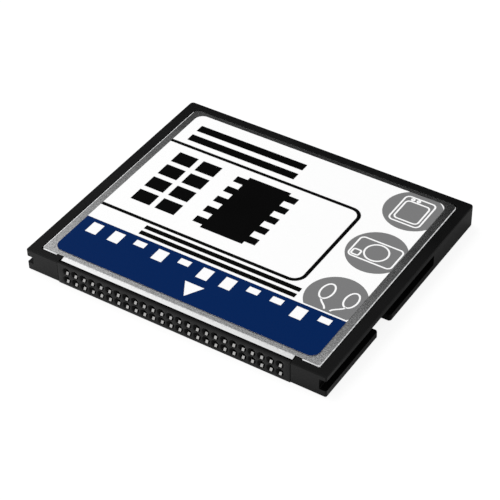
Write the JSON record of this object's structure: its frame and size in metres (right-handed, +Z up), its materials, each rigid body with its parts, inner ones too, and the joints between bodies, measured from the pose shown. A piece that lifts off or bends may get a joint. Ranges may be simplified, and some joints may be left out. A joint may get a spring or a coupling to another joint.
{
  "type": "compact flash memory card",
  "caption": "Flat memory card in a black moulded frame with steel covers, a printed label, side guide grooves and two rows of pin sockets along its front edge.",
  "frame": {"origin": "centre of the underside's outline, on the surface the card lies on", "axes": "+X across the card to the side with the wider groove, +Y from the socket edge to the rear, +Z up through the label"},
  "size_m": [0.0428, 0.0364, 0.0033],
  "materials": {
    "frame_plastic": "fine-grained black moulding",
    "cover_steel": "satin, finely blasted",
    "connector_plastic": "black glass-filled moulding",
    "contact_plating": "thin gold flash over nickel",
    "board_green": "solder mask on glass-fibre laminate",
    "chip_black": "moulding compound",
    "solder_tin": "dull tin",
    "crystal_lid": "plated lid",
    "tantalum_yellow": "moulded case",
    "ceramic_tan": "bare ceramic",
    "resistor_black": "glass-coated",
    "amber_film": "thin insulating film",
    "label_white": "glossy laminated film",
    "navy_ink": "ink under gloss",
    "black_ink": "ink under gloss",
    "grey_ink": "ink under gloss"
  },
  "bodies": {
    "root": {"frame": "frame_plastic", "top_cover": "cover_steel", "bottom_cover": "cover_steel", "connector_housing": "connector_plastic", "upper_contacts": "contact_plating", "lower_contacts": "contact_plating", "circuit_board": "board_green", "upper_flash_chip": "chip_black", "upper_flash_leads": "solder_tin", "lower_flash_chip": "chip_black", "lower_flash_leads": "solder_tin", "controller_chip": "chip_black", "crystal_oscillator": "crystal_lid", "voltage_regulator": "chip_black", "regulator_leads": "solder_tin", "tantalum_capacitor": "tantalum_yellow", "capacitors": "ceramic_tan", "resistors": "resistor_black", "chip_terminals": "solder_tin", "upper_insulator": "amber_film", "lower_insulator": "amber_film", "label_film": "label_white", "band_print": "navy_ink", "outline_print": "black_ink", "disc_print": "grey_ink"}
  },
  "joints": []
}
